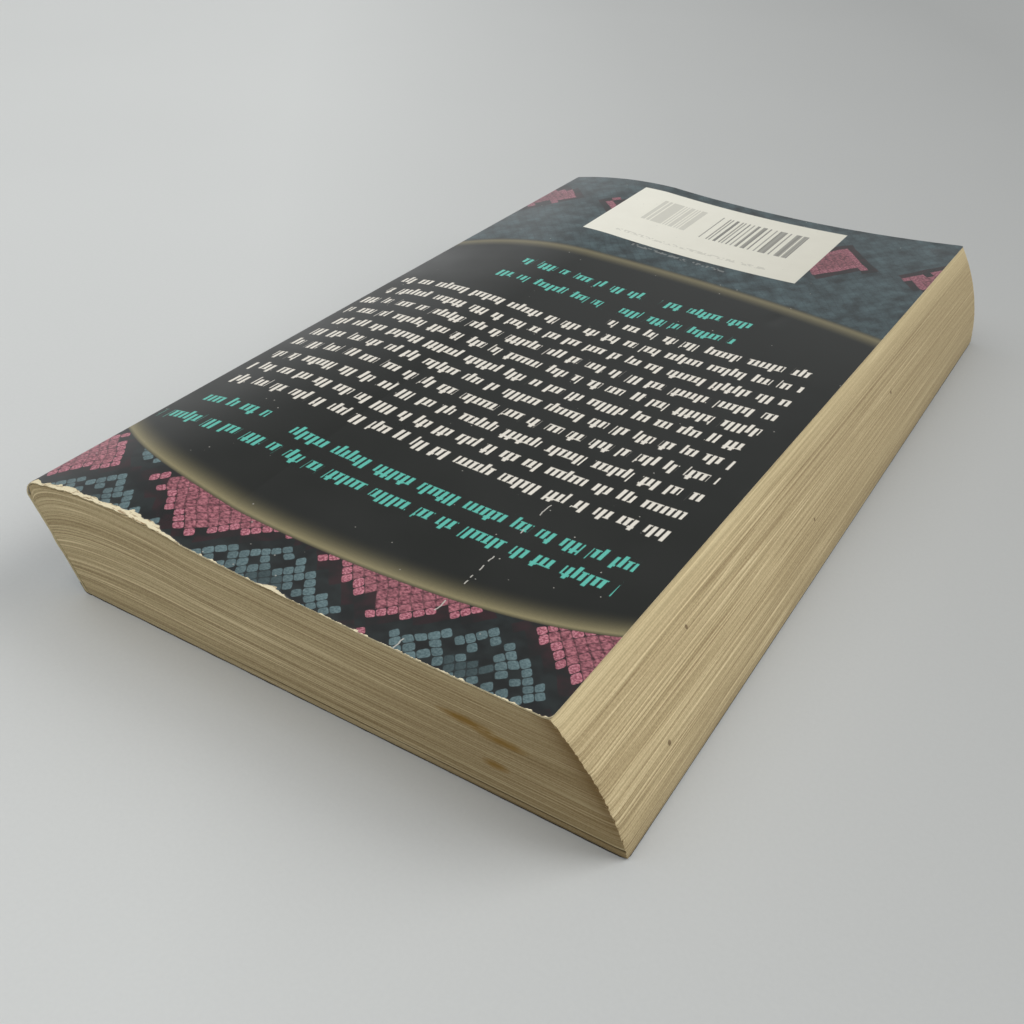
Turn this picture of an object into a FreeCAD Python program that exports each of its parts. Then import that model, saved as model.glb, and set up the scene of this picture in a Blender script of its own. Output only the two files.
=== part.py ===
"""A paperback book, closed and lying on its front cover, as a parametric document in millimetres.

The book has been read often, so its block leans: the spine leans out over the lower spine fold, and the
fore-edge slopes. The lean is larger at the head end (-Y) than at the tail end (+Y). Each piece that follows
the lean is a loft between its section at the head end and its section at the tail end.

Sections are drawn with x across the page from the lower spine fold and z up from the ground. The bodies are
then moved along X so that the book's box is centred on the origin.
"""

import FreeCAD, Part
import os
import Sketcher

DOCUMENT = FreeCAD.newDocument("PaperbackBook")

# Sizes of the whole book
BOOK_SIZES = (
    ("page_height", 174.6, "head to tail"),
    ("cover_width", 106.0, "lower spine fold to fore-edge"),
    ("block_thickness", 19.75, "all the leaves, over the flat stretch"),
    ("card_thickness", 0.3, "cover card"),
    ("glue_thickness", 0.6, "binding glue, measured level"),
    ("seat_gap", 0.05, "on each side of the glue, level"),
    ("closing_gap", 0.15, "last leaf to the back cover"),
    ("fold_gap", 0.25, "bare card at the upper spine fold"),
    ("shoulder_reach", 2.0, "upper fold back from the spine's nose"),
    ("shoulder_drop", 3.1, "upper fold down to the spine's nose"),
    ("shoulder_out", 0.46, "bulge of the shoulder's arc, outwards"),
    ("shoulder_up", 0.29, "bulge of the shoulder's arc, upwards"),
    ("slope_place", 27.0, "where the hump beside the spine ends"),
    ("edge_setback", 4.0, "width that the top takes up over the hump"),
    ("edge_belly", 1.6, "bulge of the fore-edge"),
    ("corner_round", 0.8, "worn fore corners of the front cover"),
)

# Sizes that differ between the two ends, as head, tail
END_SIZES = (
    ("lean", 8.9, 2.7, "spine's nose out over the lower fold"),
    ("fold_rise", 0.3, -2.4, "upper fold above the flat level"),
    ("slope_rise", 1.4, 0.6, "end of the hump above the flat level"),
    ("edge_rise", -0.1, 2.3, "top fore corner above the flat level"),
    ("hump_crown", 1.55, 0.9, "height of the hump's arc over its chord"),
    ("top_dip", 0.65, 1.7, "depth of the top's arc under its chord"),
)

ENDS = ("head", "tail")


def write_sheet():
    """Write each size once, as a plain number with an alias and a note."""
    sheet = DOCUMENT.addObject("Spreadsheet::Sheet", "Sizes")
    rows = list(BOOK_SIZES)
    for name, head_value, tail_value, note in END_SIZES:
        rows.append((f"head_{name}", head_value, f"head end: {note}"))
        rows.append((f"tail_{name}", tail_value, f"tail end: {note}"))
    for row, (alias, value, note) in enumerate(rows, start=1):
        sheet.set(f"A{row}", alias)
        sheet.set(f"B{row}", str(value))
        sheet.set(f"C{row}", note)
        sheet.setAlias(f"B{row}", alias)
    DOCUMENT.recompute()
    return sheet


SHEET = write_sheet()

CARD = "Sizes.card_thickness"
GLUE_OUTSIDE = f"{CARD} + Sizes.seat_gap"
GLUE_INSIDE = f"{GLUE_OUTSIDE} + Sizes.glue_thickness"
BLOCK_INSET = f"{GLUE_INSIDE} + Sizes.seat_gap"
FLAT_LEVEL = f"(Sizes.block_thickness + 2 * {CARD} + Sizes.closing_gap)"


def value(expression):
    """Return the number that a sheet expression stands for."""
    return float(SHEET.evalExpression(expression.replace("Sizes.", "")))


def moved(point, across="0", up="0"):
    """Return a section point moved by the expressions given."""
    x, z = point
    return f"{x} + {across}", f"{z} + {up}"


def midway(first, second, across="0", up="0"):
    """Return the point halfway between two section points, moved by the expressions given."""
    x = f"(({first[0]}) + ({second[0]})) / 2 + {across}"
    z = f"(({first[1]}) + ({second[1]})) / 2 + {up}"
    return x, z


def outer_points(end):
    """Name the points of the closed book's outer section at one end."""
    fold_level = f"{FLAT_LEVEL} + Sizes.{end}_fold_rise"
    return {
        "nose": (f"-Sizes.{end}_lean", f"{fold_level} - Sizes.shoulder_drop"),
        "fold": (f"Sizes.shoulder_reach - Sizes.{end}_lean", fold_level),
        "slope": ("Sizes.slope_place", f"{FLAT_LEVEL} + Sizes.{end}_slope_rise"),
        "edge": (
            f"Sizes.cover_width - Sizes.{end}_lean - Sizes.edge_setback",
            f"{FLAT_LEVEL} + Sizes.{end}_edge_rise",
        ),
    }


def spine_foot(end, across="0"):
    """Return where the spine's straight side meets the front cover, moved across by an expression."""
    nose_x, nose_z = outer_points(end)["nose"]
    return f"({nose_x}) * {CARD} / ({nose_z}) + {across}", CARD


def top_arcs(end, lower="0"):
    """Return the hump and the dipping top as two arcs, from the fold to the fore-edge."""
    points = outer_points(end)
    fold, slope, edge = (moved(points[name], up=f"-({lower})") for name in ("fold", "slope", "edge"))
    crown = midway(fold, slope, up=f"Sizes.{end}_hump_crown")
    dip = midway(slope, edge, up=f"-Sizes.{end}_top_dip")
    return ("arc", fold, crown, slope), ("arc", slope, dip, edge)


def shoulder_arc(nose, fold):
    """Return the round shoulder between the spine's straight side and the upper fold."""
    return "arc", nose, midway(nose, fold, "-Sizes.shoulder_out", "Sizes.shoulder_up"), fold


def turned_back(edges):
    """Return a run of edges in the opposite order and sense."""
    return [(edge[0],) + tuple(reversed(edge[1:])) for edge in reversed(edges)]


def block_section(end):
    """Outline the leaves: level foot, bulging fore-edge, humped top, round shoulder, leaning back."""
    points = outer_points(end)
    foot_back = spine_foot(end, BLOCK_INSET)
    foot_front = ("Sizes.cover_width", CARD)
    nose = moved(points["nose"], across=BLOCK_INSET)
    hump, dip = top_arcs(end, f"{CARD} + Sizes.closing_gap")
    top_front = dip[3]
    belly = midway(foot_front, top_front, across="Sizes.edge_belly")
    return [
        ("line", foot_back, foot_front),
        ("arc", foot_front, belly, top_front),
        *turned_back([hump, dip]),
        *turned_back([shoulder_arc(nose, hump[1])]),
        ("line", nose, foot_back),
    ]


def glue_section(end):
    """Outline the glue between the leaves' backs and the spine strip."""
    nose = outer_points(end)["nose"]
    foot_out = spine_foot(end, GLUE_OUTSIDE)
    foot_in = spine_foot(end, GLUE_INSIDE)
    top_in = moved(nose, across=GLUE_INSIDE)
    top_out = moved(nose, across=GLUE_OUTSIDE)
    return [
        ("line", foot_out, foot_in),
        ("line", foot_in, top_in),
        ("line", top_in, top_out),
        ("line", top_out, foot_out),
    ]


def strip_section(end):
    """Outline the spine strip: up the leaning side and round the shoulder, short of the upper fold."""
    points = outer_points(end)
    foot = spine_foot(end)
    foot_in = spine_foot(end, CARD)
    nose = points["nose"]
    nose_in = moved(nose, across=CARD)
    tip = moved(points["fold"], across="-Sizes.fold_gap", up="-Sizes.fold_gap / 2")
    tip_in = moved(tip, across=f"{CARD} / 2", up=f"-{CARD}")
    return [
        ("line", foot, nose),
        shoulder_arc(nose, tip),
        ("line", tip, tip_in),
        *turned_back([shoulder_arc(nose_in, tip_in)]),
        ("line", nose_in, foot_in),
        ("line", foot_in, foot),
    ]


def back_cover_section(end):
    """Outline the back panel: one card thick, from the upper fold over the hump to the fore-edge."""
    outer = list(top_arcs(end))
    inner = list(top_arcs(end, CARD))
    return [
        *outer,
        ("line", outer[-1][3], inner[-1][3]),
        *turned_back(inner),
        ("line", inner[0][1], outer[0][1]),
    ]


def origin_plane(body, role):
    """Find one of a body's own origin planes."""
    return next(plane for plane in body.Origin.OriginFeatures if plane.Role == role)


def pin(sketch, geometry, place, point):
    """Hold one point of a sketch at the two sheet expressions given."""
    for kind, expression in zip(("DistanceX", "DistanceY"), point):
        index = sketch.addConstraint(Sketcher.Constraint(kind, geometry, place, value(expression)))
        sketch.setExpression(f"Constraints[{index}]", expression)


def vector(point):
    """Return the place that a section point has now, in its sketch."""
    return FreeCAD.Vector(value(point[0]), value(point[1]), 0)


def add_edge(sketch, edge):
    """Add one line or arc and return its number and which of its ends starts and finishes it."""
    places = [vector(point) for point in edge[1:]]
    if edge[0] == "line":
        return sketch.addGeometry(Part.LineSegment(*places), False), 1, 2
    start, middle, finish = places
    number = sketch.addGeometry(Part.Arc(start, middle, finish), False)
    through = sketch.addGeometry(Part.Point(middle), True)
    pin(sketch, through, 1, edge[2])
    sketch.addConstraint(Sketcher.Constraint("PointOnObject", through, 1, number))
    if (middle - start).cross(finish - start).z > 0:
        return number, 1, 2
    return number, 2, 1


def add_outline(body, name, role, edges):
    """Draw a closed outline on one of the body's origin planes, pinned at each corner."""
    sketch = body.newObject("Sketcher::SketchObject", name)
    sketch.AttachmentSupport = [(origin_plane(body, role), "")]
    sketch.MapMode = "FlatFace"
    ends = []
    for edge in edges:
        number, start, finish = add_edge(sketch, edge)
        pin(sketch, number, start, edge[1])
        ends.append((number, start, finish))
    for (number, _, finish), (following, start, _) in zip(ends, ends[1:] + ends[:1]):
        sketch.addConstraint(Sketcher.Constraint("Coincident", number, finish, following, start))
    return sketch


def add_section(body, end, edges):
    """Draw a section of the book, shifted to its head or tail end."""
    sketch = add_outline(body, f"{body.Name}_{end}", "XZ_Plane", edges)
    side = "" if end == "head" else "-"
    sketch.setExpression("AttachmentOffset.Base.z", f"{side}Sizes.page_height / 2")
    return sketch


def add_body(name):
    """Start a sub-part whose place centres the book's box on the origin."""
    body = DOCUMENT.addObject("PartDesign::Body", name)
    body.Label = name
    reach = "max(Sizes.head_lean; Sizes.tail_lean)"
    body.setExpression("Placement.Base.x", f"({reach} - Sizes.cover_width) / 2")
    return body


def add_loft(name, section):
    """Build a sub-part as a loft from its head section to its tail section."""
    body = add_body(name)
    head, tail = (add_section(body, end, section(end)) for end in ENDS)
    loft = body.newObject("PartDesign::AdditiveLoft", f"{name}_loft")
    loft.Profile = head
    loft.Sections = [tail]
    loft.Ruled = True
    body.Tip = loft
    return body


def round_fore_corners(panel):
    """Round the two fore corners of a flat panel, found as its short edges past the middle."""
    DOCUMENT.recompute()
    middle = value("Sizes.cover_width") / 2
    longest = 2 * value(CARD)
    corners = [
        f"Edge{number}"
        for number, edge in enumerate(panel.Shape.Edges, start=1)
        if edge.Length < longest and edge.CenterOfMass.x > middle
    ]
    fillet = panel.getParentGeoFeatureGroup().newObject("PartDesign::Fillet", "front_cover_corners")
    fillet.Base = (panel, corners)
    fillet.setExpression("Radius", "Sizes.corner_round")
    return fillet


def add_front_cover():
    """Build the front panel, a flat rectangle of card under the leaves."""
    body = add_body("front_cover")
    half_height = "Sizes.page_height / 2"
    corners = [
        ("0", f"-{half_height}"),
        ("Sizes.cover_width", f"-{half_height}"),
        ("Sizes.cover_width", half_height),
        ("0", half_height),
    ]
    sides = [("line", start, finish) for start, finish in zip(corners, corners[1:] + corners[:1])]
    sketch = add_outline(body, "front_cover_outline", "XY_Plane", sides)
    pad = body.newObject("PartDesign::Pad", "front_cover_card")
    pad.Profile = sketch
    pad.setExpression("Length", CARD)
    body.Tip = round_fore_corners(pad)
    return body


def check_document():
    """Stop if any object failed to compute."""
    for item in DOCUMENT.Objects:
        if {"Invalid", "Error"} & set(item.State):
            raise RuntimeError(f"{item.Name} failed: {item.State}")


def export_parts(bodies):
    """Write each sub-part's solid to its own file."""
    for body in bodies:
        if body.Shape.isNull() or not body.Shape.isValid() or len(body.Shape.Solids) != 1:
            raise RuntimeError(f"{body.Label} has no single valid solid")
    os.makedirs("parts", exist_ok=True)
    for body in bodies:
        body.Shape.exportStep(f"parts/{body.Label}.step")
        box = body.Shape.BoundBox
        print(f"{body.Label}: {body.Shape.Volume:.1f} mm3, x {box.XMin:.2f} to {box.XMax:.2f},",
              f"z {box.ZMin:.2f} to {box.ZMax:.2f}")


def main():
    """Build the five pieces, check them and write them."""
    bodies = [
        add_loft("text_block", block_section),
        add_loft("spine_glue", glue_section),
        add_loft("spine_cover", strip_section),
        add_loft("back_cover", back_cover_section),
        add_front_cover(),
    ]
    DOCUMENT.recompute()
    check_document()
    export_parts(bodies)


main()
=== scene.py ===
"""A closed paperback that lies on its front cover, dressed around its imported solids.

Lengths in this file are millimetres in the row frame: x from the spine to the fore-edge, y from the
head end (-87.3) to the tail end (+87.3), z up. Meshes are written in metres.
"""
import logging
import math
from dataclasses import dataclass, field
from enum import Enum
from typing import Any, Callable

import bpy
import numpy as np
from mathutils import Matrix


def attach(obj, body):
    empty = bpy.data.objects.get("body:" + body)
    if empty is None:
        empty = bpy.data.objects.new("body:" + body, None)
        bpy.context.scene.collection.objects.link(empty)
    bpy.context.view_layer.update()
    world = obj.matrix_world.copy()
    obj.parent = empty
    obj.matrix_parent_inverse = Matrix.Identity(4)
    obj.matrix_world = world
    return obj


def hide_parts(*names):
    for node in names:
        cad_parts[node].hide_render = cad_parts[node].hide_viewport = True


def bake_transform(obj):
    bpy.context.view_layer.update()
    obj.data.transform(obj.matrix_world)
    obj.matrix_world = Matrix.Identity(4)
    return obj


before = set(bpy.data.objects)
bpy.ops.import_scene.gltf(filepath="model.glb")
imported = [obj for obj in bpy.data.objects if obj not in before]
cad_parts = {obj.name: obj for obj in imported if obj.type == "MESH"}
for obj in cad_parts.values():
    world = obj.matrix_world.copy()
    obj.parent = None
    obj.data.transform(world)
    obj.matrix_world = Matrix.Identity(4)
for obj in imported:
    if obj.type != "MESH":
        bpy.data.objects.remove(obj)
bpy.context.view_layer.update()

Array = np.ndarray
Marks = dict[str, Array]
Point = tuple[float, float]
Place = tuple[float, float, float]
Colour = tuple[float, float, float, float]
Material = bpy.types.Material

LOG = logging.getLogger("paperback")
MM = 0.001
HALF_HEIGHT = 87.3
PAGE_HEIGHT = 2 * HALF_HEIGHT
PAGE_WIDTH = 106.0
CARD = 0.3
FOOT_X = -48.55
FORE_X = 57.45
HEAD_FADE = 2.6
SHOULDER_CUT = -0.4
SPINE_CUT = 0.09
FOOT_END = 1.5
INNER_SINK = 0.03
SHARP_ANGLE = math.radians(38)


class Body(Enum):
    """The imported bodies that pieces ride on."""

    ROOT = "root"
    BACK = "back_cover"
    FRONT = "front_cover"


class Slot(Enum):
    """The record's material slots."""

    PAGES = "pages"
    CARD = "cover_card"


class Side(Enum):
    """Which way a sheet's first face looks, seen along its rows."""

    OUT = 1
    IN = -1


# numbers and noise


def srgb(red: float, green: float, blue: float) -> Colour:
    """A display colour, 0 to 255, as the linear colour that the shaders take."""
    levels = []
    for level in (red, green, blue):
        share = level / 255
        levels.append(share / 12.92 if share <= 0.04045 else ((share + 0.055) / 1.055) ** 2.4)
    return (*levels, 1.0)


def smooth(value: Array, low: float, high: float) -> Array:
    """The smoothstep from low to high: 3t^2 - 2t^3 of the clamped share t."""
    share = np.clip((value - low) / (high - low), 0, 1)
    return share * share * (3 - 2 * share)


def cells(place: Array, pitch: float, shift: int, size: int) -> tuple[Array, Array, Array]:
    """Each place's cell, the next cell, and the smoothstep of the way between them. Cells repeat."""
    spot = place / pitch + shift
    cell = np.floor(spot).astype(int)
    part = spot - cell
    return cell % size, (cell + 1) % size, part * part * (3 - 2 * part)


def wobble(place: Array, pitch: float, seed: int) -> Array:
    """Smooth noise along one direction: seeded values, 0 to 1 and one pitch apart, joined by smoothsteps."""
    values = np.random.default_rng(seed).random(4096)
    low, high, part = cells(place, pitch, 2000, 4096)
    return values[low] * (1 - part) + values[high] * part


def mottle(across: Array, along: Array, pitch: float, seed: int) -> Array:
    """Smooth noise over a surface: seeded values on a square grid, joined by smoothsteps both ways."""
    values = np.random.default_rng(seed).random((512, 512))
    left, right, u = cells(across, pitch, 256, 512)
    below, above, v = cells(along, pitch, 256, 512)
    low = values[left, below] * (1 - u) + values[right, below] * u
    high = values[left, above] * (1 - u) + values[right, above] * u
    return low * (1 - v) + high * v


def arc_through(first: Point, middle: Point, last: Point, share: Array) -> Array:
    """Points on the circle through three points.

    The centre is where the perpendicular bisectors meet. A point is the centre plus the radius along
    an angle that runs evenly from the first point's to the last's, over less than half a turn.

    Args:
        first, middle, last: the three points.
        share: how far along, 0 to 1, any shape.

    Returns:
        x and z on a last axis of two.
    """
    ax, az = first
    bx, bz = middle
    cx, cz = last
    twice = 2 * (ax * (bz - cz) + bx * (cz - az) + cx * (az - bz))
    squares = (ax * ax + az * az, bx * bx + bz * bz, cx * cx + cz * cz)
    mid_x = (squares[0] * (bz - cz) + squares[1] * (cz - az) + squares[2] * (az - bz)) / twice
    mid_z = (squares[0] * (cx - bx) + squares[1] * (ax - cx) + squares[2] * (bx - ax)) / twice
    radius = math.hypot(ax - mid_x, az - mid_z)
    start = math.atan2(az - mid_z, ax - mid_x)
    turn = math.atan2(cz - mid_z, cx - mid_x) - start
    turn = (turn + math.pi) % (2 * math.pi) - math.pi
    angle = start + turn * share
    return np.stack([mid_x + radius * np.cos(angle), mid_z + radius * np.sin(angle)], -1)


# the book's outline


@dataclass(frozen=True)
class EndSection:
    """The closed book's outline at one end: corner points (x, z) and the rise of the curves between them."""

    nose: Point
    fold: Point
    slope: Point
    edge: Point
    crown: float
    dip: float
    shoulder_out: float = 0.46
    shoulder_up: float = 0.29

    def outer(self, place: Array) -> Array:
        """The cover's outer face.

        Three arcs: nose (-1) to fold (0), fold to slope (1), slope to edge (2). Each passes the middle
        of its chord plus the shoulder's, the crown's or the dip's offset.

        Args:
            place: where along the face, -1 to 2, any shape.

        Returns:
            x and z on a last axis of two.
        """
        arcs = []
        for start, first, last, out, rise in (
            (-1, self.nose, self.fold, -self.shoulder_out, self.shoulder_up),
            (0, self.fold, self.slope, 0.0, self.crown),
            (1, self.slope, self.edge, 0.0, -self.dip),
        ):
            middle = ((first[0] + last[0]) / 2 + out, (first[1] + last[1]) / 2 + rise)
            arcs.append(arc_through(first, middle, last, np.clip(place - start, 0, 1)))
        low = (place < 0)[..., None]
        high = (place > 1)[..., None]
        return np.where(low, arcs[0], np.where(high, arcs[2], arcs[1]))

    def spine(self, level: Array) -> Array:
        """The spine's straight outer line, from the foot (0) to the nose (1)."""
        x = FOOT_X + (self.nose[0] - FOOT_X) * level
        z = CARD + (self.nose[1] - CARD) * level
        return np.stack([x, z], -1)


Line = Callable[[EndSection], Array]


@dataclass(frozen=True)
class Outline:
    """Both ends' outlines. A face between them is straight from end to end."""

    head: EndSection = EndSection((-57.45, 17.7), (-55.45, 20.8), (-21.55, 21.9), (44.55, 20.4), 1.55, 0.65)
    tail: EndSection = EndSection((-51.25, 15.0), (-49.25, 18.1), (-21.55, 21.1), (50.75, 22.8), 0.9, 1.7)

    def sweep(self, line: Line, along: Array) -> Array:
        """The ruled surface between a line at the head and the same line at the tail.

        Args:
            line: gives a section's (x, z) points.
            along: rows from the head (0) to the tail (1).

        Returns:
            Points, shaped (line, row, 3).
        """
        head = line(self.head)[:, None, :]
        tail = line(self.tail)[:, None, :]
        share = along[None, :, None]
        flat = head * (1 - share) + tail * share
        y = np.broadcast_to(along * PAGE_HEIGHT - HALF_HEIGHT, flat.shape[:2])
        return np.stack([flat[..., 0], y, flat[..., 1]], -1)

    def sheet(self, line: Line, along: Array) -> tuple[Array, Array]:
        """A sheet's outer face, swept from a line, and its inner face, one card further in."""

        def inside(end: EndSection) -> Array:
            """The line moved along its own normals."""
            points = line(end)
            return points + inward(points) * CARD

        return self.sweep(line, along), self.sweep(inside, along)


BOOK = Outline()


def inward(section: Array) -> Array:
    """Unit (x, z) directions into the book along a line of points: its tangent turned a quarter clockwise."""
    step = np.gradient(section, axis=0)
    step /= np.linalg.norm(step, axis=1, keepdims=True)
    return np.stack([step[:, 1], -step[:, 0]], -1)


def head_rows() -> Array:
    """Rows shared by the cover's sheets: close together at the worn head end, wider beyond it."""
    fine = np.arange(0, HEAD_FADE, 0.13)
    last = PAGE_HEIGHT - np.array([1.6, 1.0, 0.5, 0.2, 0.0])
    wide = np.linspace(HEAD_FADE, last[0], 74)[:-1]
    return np.concatenate([fine, wide, last]) / PAGE_HEIGHT


def head_fade(y: Array) -> Array:
    """1 at the head edge, falling evenly to 0 at the end of the worn rows."""
    return np.clip(1 - (y + HALF_HEIGHT) / HEAD_FADE, 0, 1)


# meshes


def new_piece(name: str, points: Array, quads: Array, finishes: list[Material],
              finish_index: Array | None = None, maps: Marks | None = None,
              marks: Marks | None = None, rounded: bool = True) -> bpy.types.Object:
    """A mesh object from whole arrays.

    Args:
        name: the piece's name.
        points: corners, shaped (count, 3), in millimetres.
        quads: four corner numbers a face.
        finishes: the materials.
        finish_index: each face's material, or None for the first.
        maps: named UV maps, one (u, v) a corner.
        marks: named attributes, one number a corner.
        rounded: smooth shading between faces that meet at a shallow angle.

    Returns:
        The object, linked to the scene, at the origin.
    """
    mesh = bpy.data.meshes.new(name)
    mesh.vertices.add(len(points))
    mesh.vertices.foreach_set("co", (points * MM).astype(np.float32).ravel())
    mesh.loops.add(quads.size)
    mesh.loops.foreach_set("vertex_index", quads.astype(np.int32).ravel())
    mesh.polygons.add(len(quads))
    mesh.polygons.foreach_set("loop_start", np.arange(0, quads.size, 4, dtype=np.int32))
    for finish in finishes:
        mesh.materials.append(finish)
    if finish_index is not None:
        mesh.polygons.foreach_set("material_index", finish_index.astype(np.int32))
    mesh.update(calc_edges=True)
    for title, values in (maps or {}).items():
        layer = mesh.uv_layers.new(name=title)
        layer.data.foreach_set("uv", values[quads.ravel()].astype(np.float32).ravel())
    for title, values in (marks or {}).items():
        mark = mesh.attributes.new(title, "FLOAT", "POINT")
        mark.data.foreach_set("value", values.astype(np.float32))
    mesh.polygons.foreach_set("use_smooth", np.full(len(quads), rounded))
    if rounded:
        mesh.set_sharp_from_angle(angle=SHARP_ANGLE)
    mesh.update()
    piece = bpy.data.objects.new(name, mesh)
    bpy.context.scene.collection.objects.link(piece)
    LOG.info("%s: %d faces", name, len(quads))
    return piece


def grid_quads(ids: Array, side: Side) -> Array:
    """Quads over a grid of corner numbers. OUT looks along (first axis) x (second axis)."""
    a, b, c, d = ids[:-1, :-1], ids[1:, :-1], ids[1:, 1:], ids[:-1, 1:]
    order = (a, b, c, d) if side is Side.OUT else (a, d, c, b)
    return np.stack(order, -1).reshape(-1, 4)


@dataclass
class SheetMesh:
    """A closed thin sheet: an outer face, an inner face and the walls round them.

    Columns run across the cover and rows run from head to tail, so (column step) x (row step) looks
    outwards on the upper face.
    """

    outer: Array
    inner: Array
    print_map: Array
    marks: Marks

    def build(self, name: str, finishes: list[Material]) -> bpy.types.Object:
        """The sheet's mesh: two grids of the same corners, and four strips that join their borders.

        Args:
            name: the piece's name.
            finishes: materials of the outer face, the inner face and the walls.

        Returns:
            The object.
        """
        cols, rows = self.outer.shape[:2]
        count = cols * rows
        top = np.arange(count).reshape(cols, rows)
        low = top + count
        strips = ((low[0], top[0]), (top[-1], low[-1]), (top[:, 0], low[:, 0]), (low[:, -1], top[:, -1]))
        faces = [grid_quads(top, Side.OUT), grid_quads(low, Side.IN)]
        faces += [grid_quads(np.stack(strip), Side.OUT) for strip in strips]
        index = np.concatenate([np.full(len(f), min(i, 2)) for i, f in enumerate(faces)])
        points = np.concatenate([self.outer.reshape(-1, 3), self.inner.reshape(-1, 3)])
        maps = {"Print": np.tile(self.print_map.reshape(-1, 2), (2, 1))}
        marks = {title: np.tile(values.ravel(), 2) for title, values in self.marks.items()}
        return new_piece(name, points, np.concatenate(faces), finishes, index, maps, marks)


# shader expressions


def operator(operation: str, swapped: bool = False) -> Callable[..., "Signal"]:
    """A method that puts a Math node on a signal and other values, with the signal last if swapped."""

    def method(self: "Signal", *others: "Signal | float") -> "Signal":
        """The node's result."""
        values = (*others, self) if swapped else (self, *others)
        return self.graph.math(operation, *values)

    return method


class Signal:
    """One output socket. Arithmetic on it adds Math nodes to its graph."""

    def __init__(self, graph: "Graph", socket: bpy.types.NodeSocket) -> None:
        """Keeps the graph and the socket."""
        self.graph = graph
        self.socket = socket

    __add__ = operator("ADD")
    __radd__ = operator("ADD", True)
    __sub__ = operator("SUBTRACT")
    __rsub__ = operator("SUBTRACT", True)
    __mul__ = operator("MULTIPLY")
    __rmul__ = operator("MULTIPLY", True)
    __truediv__ = operator("DIVIDE")
    __rtruediv__ = operator("DIVIDE", True)
    __pow__ = operator("POWER")
    __abs__ = operator("ABSOLUTE")
    __gt__ = operator("GREATER_THAN")
    __lt__ = operator("LESS_THAN")
    floor = operator("FLOOR")
    most = operator("MAXIMUM")
    least = operator("MINIMUM")
    remainder = operator("FLOORED_MODULO")

    def ramp(self, low: float, high: float) -> "Signal":
        """0 at low to 1 at high, straight between and level beyond; falls where high is the smaller."""
        inputs = {"Value": self, "From Min": low, "From Max": high}
        return self.graph.node("ShaderNodeMapRange", {"clamp": True}, inputs)

    def equals(self, number: float) -> "Signal":
        """1 where this whole number is the given one."""
        return abs(self - number) < 0.5

    def within(self, low: float, high: float, soft: float) -> "Signal":
        """1 between low and high, with borders soft wide."""
        return self.ramp(low - soft / 2, low + soft / 2) * self.ramp(high + soft / 2, high - soft / 2)


Value = Signal | float
Tint = Signal | Colour


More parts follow.
